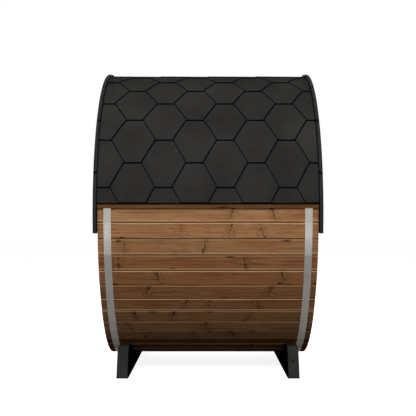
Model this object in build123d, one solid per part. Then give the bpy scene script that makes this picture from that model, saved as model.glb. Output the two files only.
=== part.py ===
from build123d import *
import os
from math import asin, cos, degrees, radians, sin, sqrt, tan

# Barrel sauna, lying along X. The long side that is seen most faces -Y, and +Z is up.
# The origin is on the ground under the middle of the barrel. Sizes are in millimetres.
# Angles round the barrel start at the front, -Y, and grow upwards: 90 is the crown, 180 the back.

# Barrel of staves
barrel_length = 1200
barrel_radius = 866.5      # from the axis to the middle of a stave's outer face
ground_clearance = 73      # under the lowest stave
stave_count = 60
staves_in_group = 5
stave_thickness = 42
joint_gap = 0.3            # hairline between boards that lie side by side
edge_bevel = 5.5           # two of these make the V at a joint
tongue_width = 8
tongue_depth = 7
tongue_taper = 0.8
tongue_play = 0.4
seat_play = 0.3            # between a piece and what it lies on

# End walls, let into a groove round the inside of the staves
wall_inset = 53            # from the staves' ends to the middle of the wall
wall_thickness = 42
wall_board = 90            # width of one upright board
groove_depth = 10

# Hoops round the barrel, over the end walls
hoop_width = 40
hoop_thickness = 1
ear_gap = 36               # between the two ends of a hoop
ear_height = 30
ear_thickness = 4
ear_angle = 198
bolt_radius = 4
bolt_play = 0.3
bolt_overhang = 14         # of thread past the nut's ear
nut_size = 13              # across the flats
nut_height = 6.5

# Roof
eave_height = 56.6         # of the covering's lower edge over the axis
deck_reveal = 25           # of deck that shows below the covering
deck_thickness = 8
deck_board_count = 29
deck_boards_side = 10      # in the front and in the back node
covering_thickness = 3.2
ridge_width = 250

# Verge boards on the staves' ends
verge_thickness = 22
verge_depth = 65
verge_rise = 17.8          # over the covering
verge_drop = 104.5         # of the lower tip under the axis
verge_segment = 332        # along the outer edge
verge_bevel = 3
crown_margin = 0.25        # least share of a segment that is left to the crown piece, each side

# Cradles
cradle_thickness = 68
cradle_height = 172        # of the horns over the ground
cradle_gap = 1             # between a cradle and the hoop beside it
horn_depth = 133           # of the horn's flat top, out from the barrel
foot_splay = 75            # the foot's tip reaches this much further than the horn's
sole_thickness = 12
cradle_bevel = 5

# Doorway in the right end wall
doorway_width = 640
head_cover = 60            # of wall left over the doorway's upper corners
sill_cover = 90
frame_width = 45
frame_depth = 60
stop_width = 12
leaf_thickness = 40
leaf_gap = 3
air_gap = 8                # under the leaf
stile_width = 90
bottom_rail = 140
glass_thickness = 8
glass_bite = 12            # how far the glass goes into the leaf
glass_play = 0.3

# Door hardware
handle_length = 320
handle_width = 26
handle_thickness = 20
handle_reach = 20          # between the leaf and the handle
handle_post_radius = 9
handle_post_offset = 106   # of a post from the handle's middle
handle_edge = 5
handle_drop = 40           # of the handle's middle under the axis
hinge_height = 90
hinge_inset = 180          # of the outer hinges' middles from the leaf's ends
hinge_plate = 26
hinge_thickness = 2.5
hinge_radius = 6
hinge_count = 3

# Places that follow from the sizes above
half_length = barrel_length / 2
half_step = 180 / stave_count
axis_height = ground_clearance + barrel_radius
inner_radius = barrel_radius - stave_thickness
corner_radius = barrel_radius / cos(radians(half_step))
wall_x = half_length - wall_inset
wall_radius = inner_radius + groove_depth - seat_play
hoop_inside = barrel_radius + seat_play
hoop_outside = hoop_inside + hoop_thickness
deck_inside = hoop_outside / cos(radians(half_step)) + seat_play
deck_outside = deck_inside + deck_thickness
covering_inside = deck_outside + seat_play
covering_outside = covering_inside + covering_thickness
verge_outside = covering_outside + verge_rise
verge_inside = verge_outside - verge_depth
eave_angle = degrees(asin(eave_height / covering_inside))
deck_angle = degrees(asin((eave_height - deck_reveal) / deck_inside))
deck_step = (180 - 2 * deck_angle) / deck_board_count
barrel_place = Pos(0, 0, axis_height)


def around(radius, angle):
    # a point of the barrel's cross-section, as Y and Z from its axis
    return (-radius * cos(radians(angle)), radius * sin(radians(angle)))


def face_of(points):
    return make_face(Polyline(*points, close=True))


def along_barrel(points, length):
    # a bar of this cross-section, its length halved by the middle of the barrel
    return extrude(Plane.YZ * face_of(points), length / 2, both=True)


def turned(shape, angle):
    # a shape drawn at the front of the barrel, brought up round it by an angle
    return Rot(X=-angle) * shape


def stave():
    # drawn at the front: r runs outwards, and the tongue points up into the next stave's groove
    slope = radians(half_step)
    middle = barrel_radius - stave_thickness / 2
    outer_corner = barrel_radius / cos(slope)
    inner_corner = inner_radius / cos(slope)
    half_face = barrel_radius * tan(slope) - edge_bevel

    def on_side(side, along, beyond):
        # a point on the upper (1) or lower (-1) flank, and how far it lies above the joint's plane
        r = along * cos(slope) - side * beyond * sin(slope)
        up = side * along * sin(slope) + beyond * cos(slope)
        return (-r, up)

    def flank(side, base, half_width, depth):
        # from the outer bevel, round the tongue or groove, to the inner corner
        tip = half_width - tongue_taper
        return [
            on_side(side, outer_corner - edge_bevel, base),
            on_side(side, middle + half_width, base),
            on_side(side, middle + tip, base + depth),
            on_side(side, middle - tip, base + depth),
            on_side(side, middle - half_width, base),
            on_side(side, inner_corner, base),
        ]

    tongue = flank(1, -joint_gap / 2, tongue_width / 2, tongue_depth)
    groove = flank(-1, joint_gap / 2, tongue_width / 2 + tongue_play, tongue_depth + tongue_play)
    outer_face = [(-barrel_radius, -half_face), (-barrel_radius, half_face)]
    bar = along_barrel(outer_face + tongue + groove[::-1], barrel_length)

    # the groove for the end walls, sawn straight across the inner face
    wall_groove = Box(wall_thickness + 2 * seat_play, 2 * groove_depth, 4 * half_face)
    for x in (-wall_x, wall_x):
        bar -= Pos(x, -inner_radius, 0) * wall_groove
    return bar


def stave_groups():
    # group 1 is centred on the front, and the groups go up over the crown to the back
    single = stave()
    step = 2 * half_step
    groups = {}
    for group in range(stave_count // staves_in_group):
        first = group * staves_in_group - staves_in_group // 2
        staves = [turned(single, (first + n) * step) for n in range(staves_in_group)]
        groups[f"staves_{group + 1:02d}"] = staves
    return groups


def flat_ring(apothem):
    # the corners of a ring whose flats lie on the staves
    corner = apothem / cos(radians(half_step))
    return face_of([around(corner, half_step * (2 * n + 1)) for n in range(stave_count)])


def hoop():
    # a thin strap with two ears that the bolt draws together
    band = extrude(Plane.YZ * (flat_ring(hoop_outside) - flat_ring(hoop_inside)), hoop_width / 2, both=True)
    band = turned(band, -ear_angle)
    band -= Pos(0, -barrel_radius, 0) * Box(2 * hoop_width, 4 * ear_height, ear_gap)
    ear = Box(hoop_width, ear_height, ear_thickness, align=(Align.CENTER, Align.MAX, Align.CENTER))
    hole = Cylinder(bolt_radius + bolt_play, 2 * ear_gap)
    for side in (-1, 1):
        band += Pos(0, -hoop_inside, side * (ear_gap - ear_thickness) / 2) * ear
    band -= Pos(0, -bolt_line(), 0) * hole
    return turned(band, ear_angle)


def bolt_line():
    return hoop_inside + ear_height / 2


def hoop_bolt():
    # hexagon head and nut outside the ears, with a length of thread past the nut
    head = extrude(RegularPolygon(nut_size / 2, 6, major_radius=False), nut_height)
    face = ear_gap / 2 + seat_play
    shank = Cylinder(bolt_radius, ear_gap + bolt_overhang + nut_height)
    bolt = Pos(0, 0, bolt_overhang / 2) * shank
    bolt += Pos(0, 0, face) * head
    bolt += Pos(0, 0, -face - nut_height) * head
    return turned(Pos(0, -bolt_line(), 0) * bolt, ear_angle)


def deck_board(number):
    # one flat board of the deck, number 0 at the front eave
    half_width = deck_inside * tan(radians(deck_step / 2)) - joint_gap / 2
    flare = deck_thickness * tan(radians(deck_step / 2))
    outline = [
        (-deck_inside, -half_width),
        (-deck_inside, half_width),
        (-deck_outside, half_width + flare),
        (-deck_outside, -half_width - flare),
    ]
    return turned(along_barrel(outline, barrel_length), deck_angle + (number + 0.5) * deck_step)


def on_deck(apothem, angle):
    # a point at some height over the deck's flats, at an angle round the barrel
    board = min(int((angle - deck_angle) / deck_step), deck_board_count - 1)
    off_middle = angle - deck_angle - (board + 0.5) * deck_step
    return around(apothem / cos(radians(off_middle)), angle)


def covering(start, end):
    # a sheet of roofing that is bent over the deck's joints, between two angles
    joints = [deck_angle + n * deck_step for n in range(deck_board_count + 1)]
    angles = [start] + [joint for joint in joints if start < joint < end] + [end]
    inner = [on_deck(covering_inside, angle) for angle in angles]
    outer = [on_deck(covering_outside, angle) for angle in angles]
    return along_barrel(inner + outer[::-1], barrel_length)


def verge_angles():
    # the joints of one side, from the lower tip up, and their mirror images over the crown
    tip = -degrees(asin(verge_drop / verge_outside))
    step = degrees(verge_segment / verge_outside)
    count = int((90 - tip) / step - crown_margin)
    side = [tip + n * step for n in range(count + 1)]
    return side + [180 - angle for angle in reversed(side)]


def verge_piece(start, end):
    # one curved board against the ends of the staves on the right, bevelled along its outer edge
    gap = degrees(joint_gap / verge_outside)
    outline = [
        (0, -verge_inside),
        (verge_thickness, -verge_inside),
        (verge_thickness, -verge_outside + verge_bevel),
        (verge_thickness - verge_bevel, -verge_outside),
        (verge_bevel, -verge_outside),
        (0, -verge_outside + verge_bevel),
    ]
    piece = revolve(face_of(outline), Axis.X, end - start - gap)
    return Pos(half_length + seat_play, 0, 0) * turned(piece, end - gap / 2)


def cradle():
    # a thick plank across the barrel, hollowed to carry it, with a horn at each end
    seat = corner_radius + seat_play
    chord = sqrt(seat**2 - (axis_height - cradle_height) ** 2)
    top = chord + horn_depth
    foot = top + foot_splay
    lean = foot_splay / cradle_height
    outline = [
        (-foot + lean * sole_thickness, sole_thickness),
        (foot - lean * sole_thickness, sole_thickness),
        (top, cradle_height),
        (-top, cradle_height),
    ]
    plank = extrude(Plane.YZ * face_of(outline), cradle_thickness / 2, both=True)
    arrises = [edge for side in plank.faces().filter_by(Axis.X) for edge in side.edges()]
    plank = chamfer([edge for edge in arrises if edge.center().Z > sole_thickness + seat_play], cradle_bevel)
    plank -= barrel_place * Rot(Y=90) * Cylinder(seat, 2 * cradle_thickness)
    strip = [
        (-foot, 0),
        (foot, 0),
        (foot - lean * sole_thickness, sole_thickness - seat_play),
        (-foot + lean * sole_thickness, sole_thickness - seat_play),
    ]
    sole = extrude(Plane.YZ * face_of(strip), cradle_thickness / 2, both=True)
    return plank, sole


def wall_boards():
    # upright boards cut to fit the groove in each stave, their V joints on the outer face, +X
    outer = wall_thickness / 2
    half_width = (wall_board - joint_gap) / 2
    outline = [
        (-outer, -half_width),
        (outer - edge_bevel, -half_width),
        (outer, -half_width + edge_bevel),
        (outer, half_width - edge_bevel),
        (outer - edge_bevel, half_width),
        (-outer, half_width),
    ]
    board = extrude(face_of(outline), wall_radius, both=True)
    disc = extrude(Plane.YZ * flat_ring(wall_radius), wall_thickness, both=True)
    count = int((wall_radius - wall_board / 2) / wall_board) + 1
    return [(Pos(0, n * wall_board, 0) * board) & disc for n in range(-count, count + 1)]


def doorway():
    # heights of the doorway's sill and head over the barrel's axis
    corner = sqrt(inner_radius**2 - (doorway_width / 2) ** 2)
    return sill_cover - corner, corner - head_cover


def door_wall():
    # the boards beside the doorway, in front and behind, and the short ones over and under it
    sill, head = doorway()
    hole = Pos(0, 0, (sill + head) / 2) * Box(2 * wall_thickness, doorway_width, head - sill)
    walls = {"door_wall_front": [], "door_wall_back": [], "door_wall_over": [], "door_wall_under": []}
    for board in wall_boards():
        for piece in (board - hole).solids():
            middle = piece.center()
            if middle.Z > head:
                walls["door_wall_over"].append(piece)
            elif middle.Z < sill:
                walls["door_wall_under"].append(piece)
            elif middle.Y < 0:
                walls["door_wall_front"].append(piece)
            else:
                walls["door_wall_back"].append(piece)
    return walls


def frame_bar(length):
    # a rebated bar along Z whose back, at y = 0, lies against the edge of the doorway
    outer = frame_depth / 2
    rebate = outer - leaf_thickness - seat_play
    outline = [
        (-outer, 0),
        (outer, 0),
        (outer, frame_width - stop_width),
        (rebate, frame_width - stop_width),
        (rebate, frame_width),
        (-outer, frame_width),
    ]
    return extrude(face_of(outline), length / 2, both=True)


def door_frame():
    sill, head = doorway()
    middle = (sill + head) / 2
    half_width = doorway_width / 2 - seat_play
    jamb = frame_bar(head - sill - 2 * seat_play)
    front = Pos(0, -half_width, middle) * jamb
    back = mirror(front, Plane.XZ)
    cross = Rot(X=90) * frame_bar(2 * (half_width - frame_width - joint_gap))
    bottom = Pos(0, 0, sill + seat_play) * cross
    top = mirror(Pos(0, 0, -head + seat_play) * cross, Plane.XY)
    return {"door_jambs": [front, back], "door_head": [top], "door_sill": [bottom]}


def leaf_box():
    # the leaf's half width, and the heights of its lower and upper edge
    sill, head = doorway()
    rebate = frame_width - stop_width
    half_width = doorway_width / 2 - seat_play - rebate - leaf_gap
    return half_width, sill + rebate + air_gap, head - rebate - leaf_gap


def door_leaf():
    half_width, bottom, top = leaf_box()
    x = (frame_depth - leaf_thickness) / 2
    upright = (Align.CENTER, Align.MIN, Align.MIN)
    stile = Box(leaf_thickness, stile_width, top - bottom, align=upright)
    rail_length = 2 * (half_width - stile_width - joint_gap)
    across = (Align.CENTER, Align.CENTER, Align.MIN)
    lower = Box(leaf_thickness, rail_length, bottom_rail, align=across)
    upper = Box(leaf_thickness, rail_length, stile_width, align=across)
    pane_width = rail_length + 2 * glass_bite
    pane_bottom = bottom + bottom_rail - glass_bite
    pane_height = top - stile_width + glass_bite - pane_bottom
    pane = Box(glass_thickness, pane_width, pane_height)
    slot = Box(
        glass_thickness + 2 * glass_play,
        pane_width + 2 * glass_play,
        pane_height + 2 * glass_play,
    )
    pane_place = Pos(x, 0, pane_bottom + pane_height / 2)
    woods = [
        Pos(x, -half_width, bottom) * stile,
        Pos(x, half_width - stile_width, bottom) * stile,
        Pos(x, 0, bottom) * lower,
        Pos(x, 0, top - stile_width) * upper,
    ]
    return {"door_leaf": [wood - pane_place * slot for wood in woods], "door_glass": [pane_place * pane]}


def door_handles():
    # a wooden bar with broken edges on two posts, outside and inside, on the front stile
    half_width = leaf_box()[0]
    face = frame_depth / 2 + seat_play
    bar = Box(handle_thickness, handle_width, handle_length)
    bar = chamfer(bar.edges().filter_by(Axis.Z), handle_edge)
    grip = Pos(face + handle_reach + handle_thickness / 2, 0, 0) * bar
    post = Rot(Y=90) * Cylinder(handle_post_radius, handle_reach, align=(Align.CENTER, Align.CENTER, Align.MIN))
    for side in (-1, 1):
        grip += Pos(face, 0, side * handle_post_offset) * post
    outside = Pos(0, -half_width + stile_width / 2, -handle_drop) * grip
    inside = Pos(frame_depth - leaf_thickness, 0, 0) * mirror(outside, Plane.YZ)
    return {"door_handles": [outside, inside]}


def door_hinges():
    # butt hinges on the back stile and jamb, with their knuckles outside
    half_width, bottom, top = leaf_box()
    face = frame_depth / 2 + seat_play
    low_side = (Align.MIN, Align.CENTER, Align.CENTER)
    hinge = Box(hinge_thickness, 2 * hinge_plate, hinge_height, align=low_side)
    hinge += Pos(hinge_radius, 0, 0) * Cylinder(hinge_radius, hinge_height)
    spacing = (top - bottom - 2 * hinge_inset) / (hinge_count - 1)
    joint = half_width + leaf_gap / 2
    return [Pos(face, joint, bottom + hinge_inset + n * spacing) * hinge for n in range(hinge_count)]


def build():
    # every named piece in place, as a list of its solids
    pieces = {}
    for name, staves in stave_groups().items():
        pieces[name] = [barrel_place * one for one in staves]

    for side, x in (("left", -wall_x), ("right", wall_x)):
        place = barrel_place * Pos(x, 0, 0)
        pieces[f"hoop_{side}"] = [place * hoop()]
        pieces[f"hoop_bolt_{side}"] = [place * hoop_bolt()]

    boards = [barrel_place * deck_board(n) for n in range(deck_board_count)]
    pieces["roof_deck_front"] = boards[:deck_boards_side]
    pieces["roof_deck_top"] = boards[deck_boards_side:-deck_boards_side]
    pieces["roof_deck_back"] = boards[-deck_boards_side:]

    ridge_start = 90 - degrees(ridge_width / 2 / covering_outside)
    hairline = degrees(joint_gap / covering_outside)
    slope = barrel_place * covering(eave_angle, ridge_start - hairline)
    pieces["roof_covering_front"] = [slope]
    pieces["roof_covering_back"] = [mirror(slope, Plane.XZ)]
    pieces["roof_ridge"] = [barrel_place * covering(ridge_start, 180 - ridge_start)]

    joints = verge_angles()
    right = [barrel_place * verge_piece(start, end) for start, end in zip(joints, joints[1:])]
    left = [mirror(piece, Plane.YZ) for piece in right]
    crown = len(right) // 2
    for side, ring in (("left", left), ("right", right)):
        pieces[f"verge_{side}_front"] = ring[:crown]
        pieces[f"verge_{side}_crown"] = [ring[crown]]
        pieces[f"verge_{side}_back"] = ring[crown + 1:]

    plank, sole = cradle()
    cradle_x = wall_x - hoop_width / 2 - cradle_gap - cradle_thickness / 2
    for side, x in (("left", -cradle_x), ("right", cradle_x)):
        pieces[f"cradle_{side}"] = [Pos(x, 0, 0) * plank]
        pieces[f"cradle_sole_{side}"] = [Pos(x, 0, 0) * sole]

    left_wall = barrel_place * Pos(-wall_x, 0, 0)
    right_wall = barrel_place * Pos(wall_x, 0, 0)
    pieces["end_wall_left"] = [left_wall * mirror(board, Plane.YZ) for board in wall_boards()]
    door = {**door_wall(), **door_frame(), **door_leaf(), **door_handles(), "door_hinges": door_hinges()}
    for name, solids in door.items():
        pieces[name] = [right_wall * one for one in solids]
    return pieces


os.makedirs("parts", exist_ok=True)
for name, solids in build().items():
    export_step(Compound([one for shape in solids for one in shape.solids()]), f"parts/{name}.step")
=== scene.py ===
import math
import random

import bmesh
import bpy
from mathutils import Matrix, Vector


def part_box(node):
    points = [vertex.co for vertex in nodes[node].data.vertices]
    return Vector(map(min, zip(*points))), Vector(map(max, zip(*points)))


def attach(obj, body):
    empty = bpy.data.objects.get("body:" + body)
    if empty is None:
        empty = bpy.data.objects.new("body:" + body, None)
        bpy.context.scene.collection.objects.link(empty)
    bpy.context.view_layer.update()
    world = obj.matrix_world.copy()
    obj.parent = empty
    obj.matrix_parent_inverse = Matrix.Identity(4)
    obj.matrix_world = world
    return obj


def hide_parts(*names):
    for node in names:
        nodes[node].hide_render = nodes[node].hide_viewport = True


# Barrel sauna of heat-treated pine under a shingled roof. Metres, +Z up, the barrel lies along X.
# Angles round the barrel start at the front, -Y, and grow upwards: 90 degrees is the crown.
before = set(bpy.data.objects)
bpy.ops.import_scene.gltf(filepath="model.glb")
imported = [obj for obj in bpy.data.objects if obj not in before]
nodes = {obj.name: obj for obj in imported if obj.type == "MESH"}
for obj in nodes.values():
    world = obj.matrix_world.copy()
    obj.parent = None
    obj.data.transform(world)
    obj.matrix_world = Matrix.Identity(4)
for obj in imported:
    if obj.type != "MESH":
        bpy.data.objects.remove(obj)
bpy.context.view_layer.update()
scene = bpy.context.scene
print("stage: frame loaded,", len(nodes), "nodes")

# Places read from the frame
staveLow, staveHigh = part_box("staves_01")
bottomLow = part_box("staves_10")[0]
barrelRadius = -staveLow.y
halfLength = staveHigh.x
axisHeight = bottomLow.z + barrelRadius
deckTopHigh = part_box("roof_deck_top")[1]
deckRadius = deckTopHigh.z - axisHeight
deckAngle = math.asin((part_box("roof_deck_front")[0].z - axisHeight) / deckRadius)
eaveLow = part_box("roof_covering_front")[0]
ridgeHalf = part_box("roof_ridge")[1].y
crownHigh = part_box("verge_right_crown")[1]
vergeRadius = crownHigh.z - axisHeight
vergeTip = math.asin((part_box("verge_right_front")[0].z - axisHeight) / vergeRadius)
crownStart = math.acos(crownHigh.y / vergeRadius)
cradleLow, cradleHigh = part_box("cradle_right")
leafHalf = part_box("door_leaf")[1].y


def linearColour(code, alpha=1.0):
    # sRGB hex to the linear values that sockets take
    parts = [int(code[i : i + 2], 16) / 255 for i in (0, 2, 4)]
    return tuple(p / 12.92 if p <= 0.04045 else ((p + 0.055) / 1.055) ** 2.4 for p in parts) + (alpha,)


def addNode(tree, kind, inputs=None, out=0, stops=None, **settings):
    # one node with its settings, links and ramp stops; gives back one output, or all of them for None
    node = tree.nodes.new("ShaderNode" + kind)
    for name, value in settings.items():
        setattr(node, name, value)
    for socket, value in (inputs or {}).items():
        if isinstance(value, bpy.types.NodeSocket):
            tree.links.new(value, node.inputs[socket])
        else:
            node.inputs[socket].default_value = value
    if stops:
        elements = node.color_ramp.elements
        while len(elements) < len(stops):
            elements.new(0.5)
        for element, (place, grey) in zip(elements, stops):
            element.position = place
            element.color = (grey, grey, grey, 1)
    if out is None or not node.outputs:
        return node.outputs
    return node.outputs[out]


def newMaterial(name):
    made = bpy.data.materials.new(name)
    made.use_nodes = True
    made.node_tree.nodes.clear()
    return made, made.node_tree


def blendColours(tree, factor, first, second):
    # colours are hex codes or sockets
    pair = [linearColour(c) if isinstance(c, str) else c for c in (first, second)]
    return addNode(tree, "Mix", {"Factor": factor, 6: pair[0], 7: pair[1]}, out=2, data_type="RGBA")


def fading(start, end, most=1.0):
    # values for a MapRange that falls from the most to 0
    return {"From Min": start, "From Max": end, "To Min": most, "To Max": 0.0}


# Studio: white floor and backdrop for the eye, plain soft light for the object
studio = {
    "lens": 71.5,
    "sensor": 36.0,
    "cameraDistance": 5.345,
    "cameraBelowAxis": 0.0566,
    "shiftY": 0.0397,
    "floorSize": 60.0,
    "floorWhite": 0.6,
    "floorLift": 0.86,        # light of its own, which makes the floor white for the eye
    "floorShade": 0.045,      # the same floor for the light that it throws on the object
    "skyLow": 0.05,
    "skyHigh": 0.22,
    "skySpan": (-0.08, 0.5),  # the sky brightens between these heights
    "lampSize": (5.0, 3.0),
    "sheenSize": (2.8, 2.3),  # of the low panels in front and behind, which only glossy surfaces show
    "sheenLow": 0.03,
    "sheenAway": 2.38,
    "sheenPower": 44.5,
    "lamps": {
        "keyLamp": ((0.0, -5.1, 4.3), 317.0),
        "frontFill": ((0.0, -4.6, 0.35), 42.0),    # low down, for the lower staves
        "backLamp": ((0.0, 5.7, 3.2), 150.0),
        "leftLamp": ((-5.8, 0.4, 3.0), 200.0),
        "rightLamp": ((5.8, 0.4, 3.0), 200.0),
    },
}


def makeCamera():
    data = bpy.data.cameras.new("camera")
    data.lens = studio["lens"]
    data.sensor_width = studio["sensor"]
    data.shift_y = studio["shiftY"]
    eye = bpy.data.objects.new("camera", data)
    eye.location = (0, -studio["cameraDistance"], axisHeight - studio["cameraBelowAxis"])
    eye.rotation_euler = (math.pi / 2, 0, 0)
    scene.collection.objects.link(eye)
    scene.camera = eye


def seenRay(tree):
    # 1 for what the eye, a gloss or a pane sees, 0 for the light that falls on the object
    path = addNode(tree, "LightPath", out=None)
    rays = (path["Is Camera Ray"], path["Is Glossy Ray"], path["Is Transmission Ray"])
    seen = addNode(tree, "Math", {0: rays[0], 1: rays[1]}, operation="MAXIMUM")
    return addNode(tree, "Math", {0: seen, 1: rays[2]}, operation="MAXIMUM")


def makeWorld():
    world = bpy.data.worlds.new("studio")
    scene.world = world
    world.use_nodes = True
    tree = world.node_tree
    tree.nodes.clear()
    direction = addNode(tree, "TexCoord", out="Generated")
    height = addNode(tree, "SeparateXYZ", {0: direction}, out="Z")
    low, high = studio["skySpan"]
    span = {"From Min": low, "From Max": high, "To Min": studio["skyLow"], "To Max": studio["skyHigh"]}
    sky = addNode(tree, "MapRange", {"Value": height, **span})
    light = addNode(tree, "Background", {"Color": (1, 1, 1, 1), "Strength": sky})
    white = addNode(tree, "Background", {"Color": (1, 1, 1, 1), "Strength": 1.0})
    both = addNode(tree, "MixShader", {0: seenRay(tree), 1: light, 2: white})
    addNode(tree, "OutputWorld", {"Surface": both})


def makeFloor():
    mesh = bpy.data.meshes.new("floor")
    bm = bmesh.new()
    bmesh.ops.create_grid(bm, x_segments=1, y_segments=1, size=studio["floorSize"] / 2)
    bm.to_mesh(mesh)
    bm.free()
    floor = bpy.data.objects.new("floor", mesh)
    scene.collection.objects.link(floor)
    made, tree = newMaterial("studioFloor")
    white = studio["floorWhite"]
    shade = studio["floorShade"]
    paper = addNode(tree, "BsdfDiffuse", {"Color": (white, white, white, 1)})
    lift = addNode(tree, "Emission", {"Color": (1, 1, 1, 1), "Strength": studio["floorLift"]})
    seen = addNode(tree, "AddShader", {0: paper, 1: lift})
    dark = addNode(tree, "BsdfDiffuse", {"Color": (shade, shade, shade, 1)})
    both = addNode(tree, "MixShader", {0: seenRay(tree), 1: dark, 2: seen})
    addNode(tree, "OutputMaterial", {"Surface": both})
    mesh.materials.append(made)


def makeLight(name, size, power, place, aim, up):
    data = bpy.data.lights.new(name, "AREA")
    data.shape = "RECTANGLE"
    data.size, data.size_y = size
    data.energy = power
    light = bpy.data.objects.new(name, data)
    light.location = place
    light.rotation_euler = aim.to_track_quat("-Z", up).to_euler()
    scene.collection.objects.link(light)
    return light


def makeLamp(name, place, power):
    aim = Vector((0, 0, axisHeight)) - Vector(place)
    lamp = makeLight(name, studio["lampSize"], power, place, aim, "Y")
    lamp.visible_glossy = False


def makeSheen(name, side):
    place = (0, side * studio["sheenAway"], studio["sheenSize"][1] / 2 + studio["sheenLow"])
    panel = makeLight(name, studio["sheenSize"], studio["sheenPower"], place, Vector((0, -side, 0)), "Z")
    panel.visible_camera = False
    panel.visible_diffuse = False
    panel.visible_transmission = False


scene.view_settings.view_transform = "Standard"
makeCamera()
makeWorld()
makeFloor()
makeSheen("frontSheen", -1)
makeSheen("backSheen", 1)
for lampName, (lampPlace, lampPower) in studio["lamps"].items():
    makeLamp(lampName, lampPlace, lampPower)
print("stage: studio made")

# Heat-treated pine: brown right through, planed, with long fine grain, spike knots and dark streaks
pine = {
    "early": "A27B56",
    "late": "835E3E",
    "reddish": "8F5C3C",
    "streak": "452A19",
    "knot": "3A2415",
    "lens": "20120A",
    "knotRim": "B58D66",
    # planed wood and painted highlight at the boards' edges
    "planedEdgeAndHighlight": "C09A70",
    # grime and painted shade deep in the joints
    "gap": "1E120B",
    "deckShade": "A49D96",     # painted shade of the shingles' edge on the deck strip under the eave
    "handleTint": "9C8E84",   # oil darkens the handles
    "boardTone": (0.6, 1.091),    # from the darkest board to the lightest
    "fibreTone": (0.77, 1.23),
    "ringSpacing": 0.0065,    # drawn about twice as coarse as the real 3 mm, so that it shows
    "fibre": 0.004,           # drawn about four times as coarse as the real 1 mm, so that it shows
    "boardShift": 3.17,       # between the patterns of two neighbours
    "pithAside": 0.06,
    "pithBelow": (0.01, 0.06),
    "pithSway": 0.007,
    "pithLift": 0.006,        # where the grain bends round a knot
    "knotSpacing": 0.23,
    "knotless": 0.55,         # share of the places that have none
    "knotSize": 0.027,
    "knotWarp": 0.017,        # how far the line of a knot wanders
    "knotGrowth": 0.045,      # it grows from this far on one side of the middle to as far on the other
    "knotEnds": (0.05, 0.08), # it fades out this far from the middle
    "knotBend": (0.004, 0.045),   # the grain round it bends less and less
    "rimAway": 0.0025,        # the pale line's middle, beyond the dark heart
    "rimSoft": (0.0005, 0.0032),
    "edgeKnotSpacing": 0.29,
    "edgeKnotShare": 0.55,    # of the places that have one
    "edgeKnotLength": (0.01, 0.036),
    "edgeKnotHeight": 0.0080,
    "edgeKnotFrom": 0.031,    # from the middle of a board
    "edgeKnotBand": 0.016,
    "toneSeed": 2209818.0,    # which boards are dark, chosen so that the front follows the photograph
    "redSeed": 780535.0,      # which boards are red, chosen in the same way
    "redder": (1.0, 0.84, 0.77),
    "bevel": 0.0058,          # of the boards' edges
    "bevelSoft": 0.0008,
    "planedHighlightBand": 0.0085,     # lighter strip over some bevels: planed wood and painted highlight
    "joint": 0.0016,
    "grimeAndShadeReach": 2.2,        # times the joint
    "roughness": 0.65,
    "gloss": 0.0,             # bare dry wood has no film on it that would shine
}
# noise cells in a metre along a board and across it, and between one board and the next
pineNoise = {
    "sway": (1.1, 5.0, 1.0),
    "fibre": (5.0, 1 / pine["fibre"], 9.0),
    "streaks": (2.6, 70.0, 9.0),
    "patches": (3.0, 14.0, 9.0),
    "flecks": (16.0, 210.0, 9.0),
    "knotWarp": (45.0, 45.0, 5.0),
    "knotSpecks": (80.0, 125.0, 5.0),
    "edgeKnotSpecks": (120.0, 260.0, 5.0),
}
staveCount = 60
deckCount = 29
staveStep = 2 * math.pi / staveCount
deckStep = (math.pi - 2 * deckAngle) / deckCount
deckWidth = deckStep * deckRadius
stileWidth = 0.0902
roundStaves = {"round": True, "step": staveStep, "start": -staveStep / 2, "width": 0.0908, "edges": 1.0}
deckBoards = {"round": True, "step": deckStep, "start": deckAngle, "width": deckWidth, "edges": 0.0}
uprightBoards = {"round": False, "axes": "ZYX", "width": 0.09, "edges": 1.0}
uprightPost = {"round": False, "axes": "ZYX", "width": 0.64, "edges": 0.0}
crossBar = {"round": False, "axes": "YZX", "width": 2.0, "edges": 0.0}
leafWood = {"round": False, "axes": "ZYX", "width": 0.7, "edges": 0.0, "crossHalf": leafHalf - stileWidth}


def centredAxes(tree):
    # X, Y and Z from the middle of the barrel's axis
    spot = addNode(tree, "TexCoord", out="Object")
    centred = addNode(tree, "Mapping", {"Vector": spot, "Location": (0, 0, -axisHeight)})
    return addNode(tree, "SeparateXYZ", {0: centred}, out=None)


def roundPlaces(tree, axes, front):
    # the angle round the barrel from its front, and the distance from its axis
    angle = addNode(tree, "Math", {0: axes["Z"], 1: front}, operation="ARCTAN2")
    flat = addNode(tree, "CombineXYZ", {"X": axes["Y"], "Y": axes["Z"]})
    fromAxis = addNode(tree, "VectorMath", {0: flat}, out="Value", operation="LENGTH")
    return angle, fromAxis


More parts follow.
